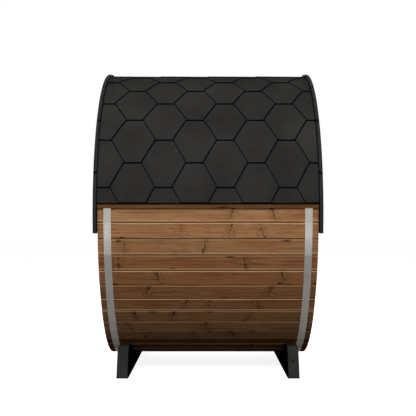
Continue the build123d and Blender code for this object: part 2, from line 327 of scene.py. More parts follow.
def boardPlaces(tree, layout):
    # along a board, across it from its middle, down into it, and the board's number
    axes = centredAxes(tree)
    if layout["round"]:
        front = addNode(tree, "Math", {0: axes["Y"], 1: -1.0}, operation="MULTIPLY")
        angle, fromAxis = roundPlaces(tree, axes, front)
        deep = addNode(tree, "Math", {0: barrelRadius, 1: fromAxis}, operation="SUBTRACT")
        fromStart = addNode(tree, "Math", {0: angle, 1: layout["start"]}, operation="SUBTRACT")
        boards = addNode(tree, "Math", {0: fromStart, 1: layout["step"]}, operation="DIVIDE")
        along = axes["X"]
    else:
        along, across, deep = (axes[name] for name in layout["axes"])
        if "crossHalf" in layout:
            # the rails of the leaf run across, between its stiles
            size = addNode(tree, "Math", {0: across}, operation="ABSOLUTE")
            rail = addNode(tree, "Math", {0: size, 1: layout["crossHalf"]}, operation="LESS_THAN")
            upright = addNode(tree, "CombineXYZ", {"X": along, "Y": across})
            turned = addNode(tree, "CombineXYZ", {"X": across, "Y": along})
            mixed = addNode(tree, "Mix", {"Factor": rail, 4: upright, 5: turned}, out=1, data_type="VECTOR")
            parts = addNode(tree, "SeparateXYZ", {0: mixed}, out=None)
            along, across = parts["X"], parts["Y"]
        boards = addNode(tree, "Math", {0: across, 1: layout["width"]}, operation="DIVIDE")
        boards = addNode(tree, "Math", {0: boards, 1: 0.5}, operation="ADD")
    number = addNode(tree, "Math", {0: boards}, operation="FLOOR")
    inBoard = addNode(tree, "Math", {0: boards, 1: number}, operation="SUBTRACT")
    inBoard = addNode(tree, "Math", {0: inBoard, 1: 0.5}, operation="SUBTRACT")
    local = addNode(tree, "Math", {0: inBoard, 1: layout["width"]}, operation="MULTIPLY")
    if layout["round"]:
        # the stave at the back is one board, though the angle jumps there
        number = addNode(tree, "Math", {0: number, 1: float(staveCount), 2: 0.0}, operation="WRAP")
    return along, local, deep, number


def knotPlaces(tree, along, number, spacing, layer, low, high):
    # a knot's place in each stretch of a board: the distance to it, its luck and three more draws
    cells = addNode(tree, "Math", {0: along, 1: spacing}, operation="DIVIDE")
    cell = addNode(tree, "Math", {0: cells}, operation="FLOOR")
    cellSpot = addNode(tree, "CombineXYZ", {"X": cell, "Y": number, "Z": layer})
    luck = addNode(tree, "TexWhiteNoise", {"Vector": cellSpot}, out=None, noise_dimensions="3D")
    three = addNode(tree, "SeparateXYZ", {0: luck["Color"]}, out=None)
    offset = addNode(tree, "MapRange", {"Value": three["X"], "To Min": low, "To Max": high})
    inCell = addNode(tree, "Math", {0: cells, 1: cell}, operation="SUBTRACT")
    inCell = addNode(tree, "Math", {0: inCell, 1: offset}, operation="SUBTRACT")
    aside = addNode(tree, "Math", {0: inCell, 1: spacing}, operation="MULTIPLY")
    return aside, luck["Value"], three


def knotPattern(tree, along, local, number):
    # spike knots: a branch runs aslant across a board, thin at one edge and wide at the other
    spot = addNode(tree, "CombineXYZ", {"X": along, "Y": local, "Z": number})
    close = addNode(tree, "VectorMath", {0: spot, 1: pineNoise["knotWarp"]}, operation="MULTIPLY")
    warp = addNode(tree, "TexNoise", {"Vector": close, "Scale": 1.0, "Detail": 2.0}, out="Color")
    warp = addNode(tree, "VectorMath", {0: warp, 1: (0.5, 0.5, 0.5)}, operation="SUBTRACT")
    warp = addNode(tree, "SeparateXYZ", {0: warp}, out=None)
    aside, luck, three = knotPlaces(tree, along, number, pine["knotSpacing"], 0.0, 0.25, 0.75)
    aside = addNode(tree, "Math", {0: warp["X"], 1: pine["knotWarp"], 2: aside}, operation="MULTIPLY_ADD")
    slant = addNode(tree, "MapRange", {"Value": three["Y"], "To Min": -0.45, "To Max": 0.45})
    aside = addNode(tree, "Math", {0: slant, 1: local, 2: aside}, operation="MULTIPLY_ADD")
    # from 0 at the thin end to 1 at the wide end
    wideUp = addNode(tree, "Math", {0: luck, 1: 0.5}, operation="SUBTRACT")
    wideUp = addNode(tree, "Math", {0: wideUp}, operation="SIGN")
    grown = addNode(tree, "Math", {0: local, 1: wideUp}, operation="MULTIPLY")
    growth = {"From Min": -pine["knotGrowth"], "From Max": pine["knotGrowth"]}
    grown = addNode(tree, "MapRange", {"Value": grown, **growth})
    square = addNode(tree, "Math", {0: grown, 1: grown}, operation="MULTIPLY")
    flare = addNode(tree, "Math", {0: square, 1: 0.6, 2: 0.14}, operation="MULTIPLY_ADD")
    sizes = {"From Min": pine["knotless"], "From Max": 1.0, "To Min": 0.006, "To Max": pine["knotSize"]}
    size = addNode(tree, "MapRange", {"Value": three["Z"], **sizes})
    half = addNode(tree, "Math", {0: flare, 1: size}, operation="MULTIPLY")
    far = addNode(tree, "Math", {0: aside}, operation="ABSOLUTE")
    away = addNode(tree, "Math", {0: far, 1: half}, operation="DIVIDE")
    there = addNode(tree, "Math", {0: three["Z"], 1: pine["knotless"]}, operation="GREATER_THAN")
    # on a wide face a knot ends
    span = addNode(tree, "Math", {0: local}, operation="ABSOLUTE")
    inside = addNode(tree, "MapRange", {"Value": span, **fading(*pine["knotEnds"])})
    inside = addNode(tree, "Math", {0: inside, 1: there}, operation="MULTIPLY")
    # the dark heart, faint at its thin end and broken up into specks
    heart = {"Value": away, **fading(0.5, 1.3)}
    core = addNode(tree, "MapRange", heart, interpolation_type="SMOOTHSTEP")
    specks = addNode(tree, "VectorMath", {0: spot, 1: pineNoise["knotSpecks"]}, operation="MULTIPLY")
    specks = addNode(tree, "TexNoise", {"Vector": specks, "Scale": 1.0, "Detail": 2.0}, out="Fac")
    broken = {"From Min": 0.42, "From Max": 0.56, "To Min": 0.08, "To Max": 1.0}
    specks = addNode(tree, "MapRange", {"Value": specks, **broken})
    depth = addNode(tree, "MapRange", {"Value": grown, "To Min": 0.5, "To Max": 1.0})
    core = addNode(tree, "Math", {0: core, 1: specks}, operation="MULTIPLY")
    core = addNode(tree, "Math", {0: core, 1: depth}, operation="MULTIPLY")
    core = addNode(tree, "Math", {0: core, 1: inside}, operation="MULTIPLY")
    # the pale bark line along one side of it
    signed = addNode(tree, "Math", {0: aside, 1: wideUp}, operation="MULTIPLY")
    fromEdge = addNode(tree, "Math", {0: signed, 1: half}, operation="SUBTRACT")
    fromEdge = addNode(tree, "Math", {0: fromEdge, 1: pine["rimAway"]}, operation="SUBTRACT")
    fromEdge = addNode(tree, "Math", {0: fromEdge}, operation="ABSOLUTE")
    line = {"Value": fromEdge, **fading(*pine["rimSoft"])}
    rim = addNode(tree, "MapRange", line, interpolation_type="SMOOTHSTEP")
    parted = addNode(tree, "MapRange", {"Value": warp["Z"], "From Min": -0.08, "From Max": 0.08})
    rim = addNode(tree, "Math", {0: rim, 1: parted}, operation="MULTIPLY")
    rim = addNode(tree, "Math", {0: rim, 1: inside}, operation="MULTIPLY")
    # the grain bends round it
    bend = {"Value": far, **fading(*pine["knotBend"])}
    near = addNode(tree, "MapRange", bend, interpolation_type="SMOOTHSTEP")
    near = addNode(tree, "Math", {0: near, 1: inside}, operation="MULTIPLY")
    return core, rim, near


def edgeKnots(tree, along, local, number):
    # knots that the saw has cut along: dark lenses at some places of a board's edges
    aside, luck, three = knotPlaces(tree, along, number, pine["edgeKnotSpacing"], 7.0, 0.2, 0.8)
    band = {"To Min": -pine["edgeKnotBand"], "To Max": pine["edgeKnotBand"]}
    level = addNode(tree, "MapRange", {"Value": three["Y"], **band})
    outer = addNode(tree, "Math", {0: level}, operation="SIGN")
    level = addNode(tree, "Math", {0: outer, 1: pine["edgeKnotFrom"], 2: level}, operation="MULTIPLY_ADD")
    up = addNode(tree, "Math", {0: local, 1: level}, operation="SUBTRACT")
    lengths = {"To Min": pine["edgeKnotLength"][0], "To Max": pine["edgeKnotLength"][1]}
    length = addNode(tree, "MapRange", {"Value": three["Z"], **lengths})
    wide = addNode(tree, "Math", {0: aside, 1: length}, operation="DIVIDE")
    tall = addNode(tree, "Math", {0: up, 1: pine["edgeKnotHeight"]}, operation="DIVIDE")
    spot = addNode(tree, "CombineXYZ", {"X": along, "Y": local, "Z": number})
    specks = addNode(tree, "VectorMath", {0: spot, 1: pineNoise["edgeKnotSpecks"]}, operation="MULTIPLY")
    specks = addNode(tree, "TexNoise", {"Vector": specks, "Scale": 1.0, "Detail": 2.0}, out="Fac")
    both = addNode(tree, "CombineXYZ", {"X": wide, "Y": tall})
    away = addNode(tree, "VectorMath", {0: both}, out="Value", operation="LENGTH")
    away = addNode(tree, "Math", {0: specks, 1: 1.6, 2: away}, operation="MULTIPLY_ADD")
    lens = {"Value": away, **fading(1.2, 1.9, 0.9)}
    mask = addNode(tree, "MapRange", lens, interpolation_type="SMOOTHSTEP")
    there = addNode(tree, "Math", {0: luck, 1: pine["edgeKnotShare"]}, operation="LESS_THAN")
    return addNode(tree, "Math", {0: mask, 1: there}, operation="MULTIPLY")


def makePine(name, layout, tint="FFFFFF"):
    made, tree = newMaterial(name)
    along, local, deep, number = boardPlaces(tree, layout)
    luck = addNode(tree, "TexWhiteNoise", {"W": number}, out="Color", noise_dimensions="1D")
    three = addNode(tree, "SeparateXYZ", {0: luck}, out=None)
    toneSpot = addNode(tree, "Math", {0: number, 1: pine["toneSeed"]}, operation="ADD")
    toneLuck = addNode(tree, "TexWhiteNoise", {"W": toneSpot}, out="Color", noise_dimensions="1D")
    darkness = addNode(tree, "SeparateXYZ", {0: toneLuck}, out="Z")
    redSpot = addNode(tree, "Math", {0: number, 1: pine["redSeed"]}, operation="ADD")
    redness = addNode(tree, "TexWhiteNoise", {"W": redSpot}, out="Value", noise_dimensions="1D")
    along = addNode(tree, "Math", {0: number, 1: pine["boardShift"], 2: along}, operation="MULTIPLY_ADD")
    core, rim, near = knotPattern(tree, along, local, number)
    lens = edgeKnots(tree, along, local, number)

    # year rings: distance from a pith line that lies below the board and wanders slowly along it
    spot = addNode(tree, "CombineXYZ", {"X": along, "Y": local, "Z": number})
    slow = addNode(tree, "VectorMath", {0: spot, 1: pineNoise["sway"]}, operation="MULTIPLY")
    wave = addNode(tree, "TexNoise", {"Vector": slow, "Scale": 1.0, "Detail": 2.0}, out="Fac")
    swayRange = {"From Min": 0.3, "From Max": 0.7, "To Min": -pine["pithSway"], "To Max": pine["pithSway"]}
    sway = addNode(tree, "MapRange", {"Value": wave, **swayRange})
    pithRange = {"To Min": -pine["pithAside"], "To Max": pine["pithAside"]}
    pith = addNode(tree, "MapRange", {"Value": three["X"], **pithRange})
    aside = addNode(tree, "Math", {0: local, 1: pith}, operation="SUBTRACT")
    belowRange = {"To Min": pine["pithBelow"][0], "To Max": pine["pithBelow"][1]}
    below = addNode(tree, "MapRange", {"Value": three["Y"], **belowRange})
    below = addNode(tree, "Math", {0: below, 1: deep}, operation="ADD")
    below = addNode(tree, "Math", {0: below, 1: sway}, operation="ADD")
    below = addNode(tree, "Math", {0: near, 1: pine["pithLift"], 2: below}, operation="MULTIPLY_ADD")
    pithSpot = addNode(tree, "CombineXYZ", {"X": aside, "Y": below})
    distance = addNode(tree, "VectorMath", {0: pithSpot}, out="Value", operation="LENGTH")
    rings = addNode(tree, "Math", {0: distance, 1: pine["ringSpacing"]}, operation="DIVIDE")
    ring = addNode(tree, "Math", {0: rings}, operation="FRACT")
    stops = [(0.0, 0.15), (0.5, 0.3), (0.85, 0.95), (1.0, 0.15)]
    late = addNode(tree, "ValToRGB", {"Fac": ring}, stops=stops)

    # fine fibre, long dark streaks and reddish patches, all drawn out along the board
    fine = addNode(tree, "VectorMath", {0: spot, 1: pineNoise["fibre"]}, operation="MULTIPLY")
    fibre = addNode(tree, "TexNoise", {"Vector": fine, "Scale": 1.0, "Detail": 2.0}, out="Fac")
    drawnOut = addNode(tree, "VectorMath", {0: spot, 1: pineNoise["streaks"]}, operation="MULTIPLY")
    streaks = addNode(tree, "TexNoise", {"Vector": drawnOut, "Scale": 1.0, "Detail": 4.0}, out="Fac")
    streakRange = {"From Min": 0.54, "From Max": 0.74, "To Min": 0.0, "To Max": 0.62}
    streak = addNode(tree, "MapRange", {"Value": streaks, **streakRange}, interpolation_type="SMOOTHSTEP")
    wide = addNode(tree, "VectorMath", {0: spot, 1: pineNoise["patches"]}, operation="MULTIPLY")
    patches = addNode(tree, "TexNoise", {"Vector": wide, "Scale": 1.0, "Detail": 3.0}, out="Fac")
    patch = addNode(tree, "MapRange", {"Value": patches, "From Min": 0.48, "From Max": 0.66, "To Max": 0.6})
    short = addNode(tree, "VectorMath", {0: spot, 1: pineNoise["flecks"]}, operation="MULTIPLY")
    flecks = addNode(tree, "TexNoise", {"Vector": short, "Scale": 1.0, "Detail": 1.0}, out="Fac")
    fleck = addNode(tree, "MapRange", {"Value": flecks, "From Min": 0.6, "From Max": 0.75, "To Max": 0.6})

    body = blendColours(tree, late, pine["early"], pine["late"])
    body = blendColours(tree, patch, body, pine["reddish"])
    low, high = pine["fibreTone"]
    tones = {"From Min": 0.3, "From Max": 0.7, "To Min": low, "To Max": high}
    fibreTone = addNode(tree, "MapRange", {"Value": fibre, **tones})
    low, high = pine["boardTone"]
    boardTone = addNode(tree, "MapRange", {"Value": darkness, "To Min": low, "To Max": high})
    tone = addNode(tree, "Math", {0: fibreTone, 1: boardTone}, operation="MULTIPLY")
    body = addNode(tree, "VectorMath", {0: body, "Scale": tone}, operation="SCALE")
    body = addNode(tree, "VectorMath", {0: body, 1: linearColour(tint)[:3]}, operation="MULTIPLY")
    redder = addNode(tree, "VectorMath", {0: body, 1: pine["redder"]}, operation="MULTIPLY")
    body = blendColours(tree, redness, body, redder)
    body = blendColours(tree, streak, body, pine["streak"])
    body = blendColours(tree, fleck, body, pine["streak"])
    nearSoft = addNode(tree, "Math", {0: near, 1: 0.22}, operation="MULTIPLY")
    body = blendColours(tree, nearSoft, body, pine["streak"])
    rimSoft = addNode(tree, "Math", {0: rim, 1: 0.6}, operation="MULTIPLY")
    body = blendColours(tree, rimSoft, body, pine["knotRim"])
    body = blendColours(tree, core, body, pine["knot"])
    body = blendColours(tree, lens, body, pine["lens"])

    if layout["edges"]:
        # planed edges are fresher than the faces, more on some boards, and their lighter colour is also a
        # painted highlight; grime and painted shade sit deep in the joint
        size = addNode(tree, "Math", {0: local}, operation="ABSOLUTE")
        inset = addNode(tree, "Math", {0: layout["width"] / 2, 1: size}, operation="SUBTRACT")
        signed = addNode(tree, "Math", {0: local}, operation="SIGN")
        lower = addNode(tree, "Math", {0: local, 1: 0.0}, operation="LESS_THAN")
        banded = addNode(tree, "Math", {0: three["X"], 1: 0.5}, operation="GREATER_THAN")
        banded = addNode(tree, "Math", {0: banded, 1: lower}, operation="MULTIPLY")
        reach = addNode(tree, "Math", {0: banded, 1: -pine["planedHighlightBand"], 2: inset}, operation="MULTIPLY_ADD")
        inner = pine["bevel"] + pine["bevelSoft"]
        planedAndLit = addNode(tree, "MapRange", {"Value": reach, **fading(pine["bevel"], inner)})
        edgeSpot = addNode(tree, "CombineXYZ", {"X": number, "Y": signed})
        freshAndLit = addNode(tree, "TexWhiteNoise", {"Vector": edgeSpot}, out="Value", noise_dimensions="3D")
        freshAndLit = addNode(tree, "MapRange", {"Value": freshAndLit, "To Min": 0.15, "To Max": 1.0})
        planedAndLit = addNode(tree, "Math", {0: planedAndLit, 1: freshAndLit}, operation="MULTIPLY")
        # lighter edges: planed wood and a painted highlight
        body = blendColours(tree, planedAndLit, body, pine["planedEdgeAndHighlight"])
        # darker deep in the joint: grime and painted shade
        clean = pine["joint"] * pine["grimeAndShadeReach"]
        grimeAndShade = addNode(tree, "MapRange", {"Value": inset, **fading(pine["joint"], clean, 0.95)})
        body = blendColours(tree, grimeAndShade, body, pine["gap"])

    bump = addNode(tree, "Bump", {"Strength": 0.25, "Distance": 0.001, "Height": fibre})
    finish = {"Base Color": body, "Roughness": pine["roughness"], "Normal": bump}
    finish["Specular IOR Level"] = pine["gloss"]
    addNode(tree, "OutputMaterial", {"Surface": addNode(tree, "BsdfPrincipled", finish)})
    return made


# Bitumen shingle: felt under fine crushed slate, black and quite matt
felt = {
    "slate": "262524",
    "slateLight": "32312F",
    # bare bitumen, also used as painted shadow round the tabs and painted shade along the eave
    "edge": "050505",
    "edgeLight": "0B0B0B",
    "grain": 0.004,           # drawn coarser than the real 1 mm, so that it shows
    "clouds": 3.5,            # in a metre
    "edgeLumps": 90.0,
    "tabTone": (0.94, 1.06),
    "roughness": 0.9,
    "edgeRoughness": 0.8,
    "gloss": 0.0,
}


def makeFelt():
    made, tree = newMaterial("bitumenShingle")
    spot = addNode(tree, "TexCoord", out="Object")
    grain = addNode(tree, "TexNoise", {"Vector": spot, "Scale": 1 / felt["grain"], "Detail": 2.0}, out="Fac")
    cloud = addNode(tree, "TexNoise", {"Vector": spot, "Scale": felt["clouds"], "Detail": 3.0}, out="Fac")
    tab = addNode(tree, "Attribute", out="Fac", attribute_name="tabTone")
    mixed = addNode(tree, "Math", {0: grain, 1: cloud}, operation="ADD")
    mixed = addNode(tree, "MapRange", {"Value": mixed, "From Min": 0.75, "From Max": 1.25})
    body = blendColours(tree, mixed, felt["slate"], felt["slateLight"])
    low, high = felt["tabTone"]
    tone = addNode(tree, "MapRange", {"Value": tab, "To Min": low, "To Max": high})
    body = addNode(tree, "VectorMath", {0: body, "Scale": tone}, operation="SCALE")
    bump = addNode(tree, "Bump", {"Strength": 0.5, "Distance": 0.0008, "Height": grain})
    finish = {"Base Color": body, "Roughness": felt["roughness"], "Normal": bump}
    finish["Specular IOR Level"] = felt["gloss"]
    addNode(tree, "OutputMaterial", {"Surface": addNode(tree, "BsdfPrincipled", finish)})
    return made


def makeFeltEdgeAndShadow():
    # the cut edge of a tab: bare bitumen without slate, so blacker than the face; the same black is painted
    # shadow in the rim round a tab's face and painted shade along the eave
    made, tree = newMaterial("bitumenEdgeAndShadow")
    spot = addNode(tree, "TexCoord", out="Object")
    rough = addNode(tree, "TexNoise", {"Vector": spot, "Scale": felt["edgeLumps"]}, out="Fac")
    body = blendColours(tree, rough, felt["edge"], felt["edgeLight"])
    finish = {"Base Color": body, "Roughness": felt["edgeRoughness"], "Specular IOR Level": felt["gloss"]}
    addNode(tree, "OutputMaterial", {"Surface": addNode(tree, "BsdfPrincipled", finish)})
    return made


# Black stain on planed pine: the grain still shows as a faint relief and as lighter fibres
blackWoods = {
    "verge": {"dark": "232322", "light": "2F2E2D", "roughness": 0.55, "gloss": 0.01, "axis": "round"},
    "cradle": {"dark": "262625", "light": "353432", "roughness": 0.75, "gloss": 0.0, "axis": "Y"},
    "sole": {"dark": "232322", "light": "31302F", "roughness": 0.8, "gloss": 0.0, "axis": "Y"},
}
woodGrain = (4.0, 160.0, 160.0)   # cells in a metre, coarser than the real grain, so that it shows
woodClouds = 9.0
innerSideShade = "0A0A0A"                # painted shade, on the sides that face the other end of the barrel
vergeMarks = {
    "segments": 4,            # between the tip of the verge and its crown
    "middle": 0.0325,         # of a board, below its outer edge
    "joint": 0.0090,          # a butt joint, drawn wider than the real hairline, so that it shows
    "jointColour": "030303",
    "screwRadius": 0.0042,
    "screwFromJoint": 0.028,
    "screwSpacing": 0.034,
    "screwColour": "0B0B0B",
    "screwSunk": 4.0,         # times the height of the grain
}


def makeBlackWood(name, stain):
    made, tree = newMaterial(name)
    axes = centredAxes(tree)
    if stain["axis"] == "round":
        front = addNode(tree, "Math", {0: axes["Y"]}, operation="ABSOLUTE")
        angle, fromAxis = roundPlaces(tree, axes, front)
        along = addNode(tree, "Math", {0: angle, 1: vergeRadius}, operation="MULTIPLY")
        grainSpot = addNode(tree, "CombineXYZ", {"X": along, "Y": fromAxis, "Z": axes["X"]})
    else:
        grainSpot = addNode(tree, "CombineXYZ", {"X": axes["Y"], "Y": axes["Z"], "Z": axes["X"]})
    drawnOut = addNode(tree, "VectorMath", {0: grainSpot, 1: woodGrain}, operation="MULTIPLY")
    grain = addNode(tree, "TexNoise", {"Vector": drawnOut, "Scale": 1.0, "Detail": 4.0}, out="Fac")
    cloud = addNode(tree, "TexNoise", {"Vector": grainSpot, "Scale": woodClouds, "Detail": 3.0}, out="Fac")
    mixed = addNode(tree, "Math", {0: grain, 1: cloud}, operation="ADD")
    factor = addNode(tree, "MapRange", {"Value": mixed, "From Min": 0.7, "From Max": 1.3})
    body = blendColours(tree, factor, stain["dark"], stain["light"])
    height = grain
    # painted shade: faces turned towards the other end of the barrel are drawn near black
    normal = addNode(tree, "NewGeometry", out="Normal")
    facing = addNode(tree, "SeparateXYZ", {0: normal}, out="X")
    outward = addNode(tree, "Math", {0: axes["X"]}, operation="SIGN")
    facing = addNode(tree, "Math", {0: facing, 1: outward}, operation="MULTIPLY")
    shadedSide = addNode(tree, "Math", {0: facing, 1: -0.5}, operation="LESS_THAN")
    body = blendColours(tree, shadedSide, body, innerSideShade)
    if stain["axis"] == "round":
        # painted-over screw heads, two at each end of a segment
        step = (crownStart - vergeTip) / vergeMarks["segments"]
        segments = addNode(tree, "Math", {0: angle, 1: vergeTip}, operation="SUBTRACT")
        segments = addNode(tree, "Math", {0: segments, 1: step}, operation="DIVIDE")
        part = addNode(tree, "Math", {0: segments}, operation="FRACT")
        part = addNode(tree, "Math", {0: part, 1: 0.5}, operation="SUBTRACT")
        part = addNode(tree, "Math", {0: part}, operation="ABSOLUTE")
        arc = step * vergeRadius
        fromJoint = addNode(tree, "Math", {0: part, 1: -arc, 2: arc / 2}, operation="MULTIPLY_ADD")
        aside = addNode(tree, "Math", {0: fromJoint, 1: vergeMarks["screwFromJoint"]}, operation="SUBTRACT")
        middle = vergeRadius - vergeMarks["middle"]
        level = addNode(tree, "Math", {0: fromAxis, 1: middle}, operation="SUBTRACT")
        level = addNode(tree, "Math", {0: level}, operation="ABSOLUTE")
        level = addNode(tree, "Math", {0: level, 1: vergeMarks["screwSpacing"] / 2}, operation="SUBTRACT")
        dot = addNode(tree, "CombineXYZ", {"X": aside, "Y": level})
        away = addNode(tree, "VectorMath", {0: dot}, out="Value", operation="LENGTH")
        radius = vergeMarks["screwRadius"]
        dome = {"Value": away, **fading(radius * 0.7, radius)}
        head = addNode(tree, "MapRange", dome, interpolation_type="SMOOTHSTEP")
        body = blendColours(tree, head, body, vergeMarks["screwColour"])
        joint = vergeMarks["joint"]
        butt = addNode(tree, "MapRange", {"Value": fromJoint, **fading(joint / 2, joint)})
        body = blendColours(tree, butt, body, vergeMarks["jointColour"])
        sunk = {0: head, 1: -vergeMarks["screwSunk"], 2: grain}
        height = addNode(tree, "Math", sunk, operation="MULTIPLY_ADD")
    bump = addNode(tree, "Bump", {"Strength": 0.35, "Distance": 0.001, "Height": height})
    finish = {"Base Color": body, "Roughness": stain["roughness"], "Normal": bump}
    finish["Specular IOR Level"] = stain["gloss"]
    addNode(tree, "OutputMaterial", {"Surface": addNode(tree, "BsdfPrincipled", finish)})
    return made


# Stainless strap, rolled and brushed along its length: a soft grey mirror, a little dulled by weather.
# It is darker than the real metal, because it mirrors the white studio from wherever it is seen.
# Phosphated screws: steel under a black oiled coat, so nearly without shine.
steel = {
    "colour": "6F6D69",
    "atEdges": "8C8A86",      # where it is seen at a flat angle
    "metallic": 0.8,
    "roughness": 0.19,
    "gloss": 0.15,
    "brushLines": 900.0,      # in a metre, about ten times as coarse as the real ones, so that they show
    "stains": 14.0,
}
blackSteel = {**steel, "colour": "0C0C0C", "atEdges": "3A3A3A", "roughness": 0.5}


def makeSteel(name, metal):
    made, tree = newMaterial(name)
    spot = addNode(tree, "TexCoord", out="Object")
    lines = addNode(tree, "VectorMath", {0: spot, 1: (metal["brushLines"], 6.0, 6.0)}, operation="MULTIPLY")
    brush = addNode(tree, "TexNoise", {"Vector": lines, "Scale": 1.0, "Detail": 2.0}, out="Fac")
    stains = addNode(tree, "TexNoise", {"Vector": spot, "Scale": metal["stains"], "Detail": 3.0}, out="Fac")
    both = addNode(tree, "Math", {0: brush, 1: stains}, operation="ADD")
    tones = {"From Min": 0.7, "From Max": 1.3, "To Min": 0.88, "To Max": 1.06}
    tone = addNode(tree, "MapRange", {"Value": both, **tones})
    plain = linearColour(metal["colour"])[:3]
    body = addNode(tree, "VectorMath", {0: plain, "Scale": tone}, operation="SCALE")
    roughs = {"To Min": metal["roughness"] - 0.04, "To Max": metal["roughness"] + 0.06}
    rough = addNode(tree, "MapRange", {"Value": brush, **roughs})
    bump = addNode(tree, "Bump", {"Strength": 0.1, "Distance": 0.0003, "Height": brush})
    finish = {"Base Color": body, "Metallic": metal["metallic"], "Roughness": rough, "Normal": bump}
    finish["Specular IOR Level"] = metal["gloss"]
    finish["Specular Tint"] = linearColour(metal["atEdges"])
    addNode(tree, "OutputMaterial", {"Surface": addNode(tree, "BsdfPrincipled", finish)})
    return made


# Toughened glass, bronze right through: clear and brownish, with faint water marks
glass = {
    "bronze": "8A6646",
    "waterMark": "7C5A3D",
    "reflection": "B98E66",   # brownish too, so that the pane looks bronze from every side
    "roughness": 0.015,
    "refraction": 1.52,
    "marks": 6.0,             # in a metre
}


def makeGlass():
    made, tree = newMaterial("bronzeGlass")
    spot = addNode(tree, "TexCoord", out="Object")
    marks = addNode(tree, "TexNoise", {"Vector": spot, "Scale": glass["marks"], "Detail": 4.0}, out="Fac")
    body = blendColours(tree, marks, glass["bronze"], glass["waterMark"])
    finish = {"Base Color": body, "Roughness": glass["roughness"], "IOR": glass["refraction"]}
    finish["Transmission Weight"] = 1.0
    finish["Specular Tint"] = linearColour(glass["reflection"])
    addNode(tree, "OutputMaterial", {"Surface": addNode(tree, "BsdfPrincipled", finish)})
    return made


finishes = {
    "staves": makePine("heatTreatedPine", roundStaves),
    # the deck's darker tint is painted shade under the eave
    "deck": makePine("heatTreatedPineDeckShaded", deckBoards, pine["deckShade"]),
    "wall": makePine("heatTreatedPineWall", uprightBoards),
    "post": makePine("heatTreatedPineUpright", uprightPost),
    "handle": makePine("oiledPineHandle", uprightPost, pine["handleTint"]),
    "cross": makePine("heatTreatedPineCross", crossBar),
    "leaf": makePine("heatTreatedPineLeaf", leafWood),
    "steel": makeSteel("brushedStainless", steel),
    "screw": makeSteel("phosphatedSteel", blackSteel),
    "glass": makeGlass(),
    "verge": makeBlackWood("blackVergePaint", blackWoods["verge"]),
    "cradle": makeBlackWood("blackStainedPine", blackWoods["cradle"]),
    "sole": makeBlackWood("blackSole", blackWoods["sole"]),
}
# the first entry that a node's name starts with gives its finish
nodeFinish = [
    ("staves", "staves"), ("roof_deck", "deck"), ("hoop", "steel"), ("end_wall", "wall"),
    ("door_wall", "wall"), ("door_hinges", "steel"), ("door_glass", "glass"), ("door_jambs", "post"),
    ("door_head", "cross"), ("door_sill", "cross"), ("door_leaf", "leaf"), ("door_handles", "handle"),
    ("verge", "verge"), ("cradle_sole", "sole"), ("cradle", "cradle"), ("roof", "verge"),
]
for name, node in nodes.items():
    key = next(finish for start, finish in nodeFinish if name.startswith(start))
    node.data.materials.clear()
    node.data.materials.append(finishes[key])
print("stage: finishes made")


def newPiece(name, bm, materials, slot, *replaced):
    # a finished bmesh becomes a piece that rides with the object
    mesh = bpy.data.meshes.new(name)
    bm.to_mesh(mesh)
    bm.free()
    piece = bpy.data.objects.new(name, mesh)
    scene.collection.objects.link(piece)
    for material in materials:
        mesh.materials.append(material)
    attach(piece, "root")
    if replaced:
        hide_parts(*replaced)
    print("stage:", name, len(mesh.polygons), "faces")
    return piece


def joinInto(target, bm):
    part = bpy.data.meshes.new("part")
    bm.to_mesh(part)
    bm.free()
    target.from_mesh(part)
    bpy.data.meshes.remove(part)


# Roof of hexagonal shingles: courses of tabs, each course lapping two below it
shingle = {
    "pitch": 0.3380,          # from tab to tab along the barrel
    "exposure": 0.140,
    "tip": 0.095,             # lower edge of a tab
    "height": 0.310,
    "knife": 0.0003,          # taken off at each side, so that neighbours don't share a face
    "thickness": 0.0022,
    "rim": 0.0062,            # of bare bitumen and painted shadow round a tab
    "shadowShift": (-0.0017, 0.0014),    # of the slate, so that the rim, partly painted shadow, is widest below and on the right, as if lit from the upper left
    # painted shade: a band of the black edge felt along the eave
    "eaveShadeBand": 0.007,
    "bend": 0.02,             # length of a flat facet when the tab is bent over the roof
    "firstAngle": 9.19,       # degrees, of the first whole course
    "stepAngle": 9.11,
    "starters": 2,            # courses below the first whole one, cut off at the eave
    "starterLip": 0.003,      # of the starter strip, below the first course
    "courses": 8,
    "offset": 0.0965,         # of the first course's middle tab along the barrel
    "farthest": 3,            # tabs on each side of that one
    "aboveDeck": 0.0015,      # the undermost layer
    "deckGap": 0.0003,
}
snap = 0.00005                # corners nearer than this to a cut lie on it
roofBase = deckRadius + shingle["aboveDeck"]
eaveAngle = math.asin((eaveLow.z - axisHeight) / (deckRadius + shingle["deckGap"]))


def bendTab(bm, side, firstAngle):
    # flat tab (x along the barrel, y up the slope, z out) laid on the round roof
    for vert in bm.verts:
        slope, out = vert.co.y, vert.co.z
        angle = firstAngle + slope / roofBase
        lift = shingle["thickness"] * (2 - slope / shingle["exposure"])
        radius = roofBase + max(lift, 0) + out
        vert.co.y = side * radius * math.cos(angle)
        vert.co.z = axisHeight + radius * math.sin(angle)


def cutThrough(bm, place, normal, clear=False):
    geom = bm.verts[:] + bm.edges[:] + bm.faces[:]
    return bmesh.ops.bisect_plane(
        bm, geom=geom, dist=snap, plane_co=place, plane_no=normal, clear_outer=clear,
    )


def cutAway(bm, place, normal):
    # takes off what lies beyond a plane and closes the cut
    cut = cutThrough(bm, place, normal, clear=True)
    edges = [item for item in cut["geom_cut"] if isinstance(item, bmesh.types.BMEdge)]
    if edges:
        bmesh.ops.contextual_create(bm, geom=edges, mat_nr=1)


def foldLines(bm, low, high, step, normal):
    # loops across a flat sheet where it will bend
    place = low + step
    while place < high:
        cutThrough(bm, Vector(normal) * place, normal)
        place += step


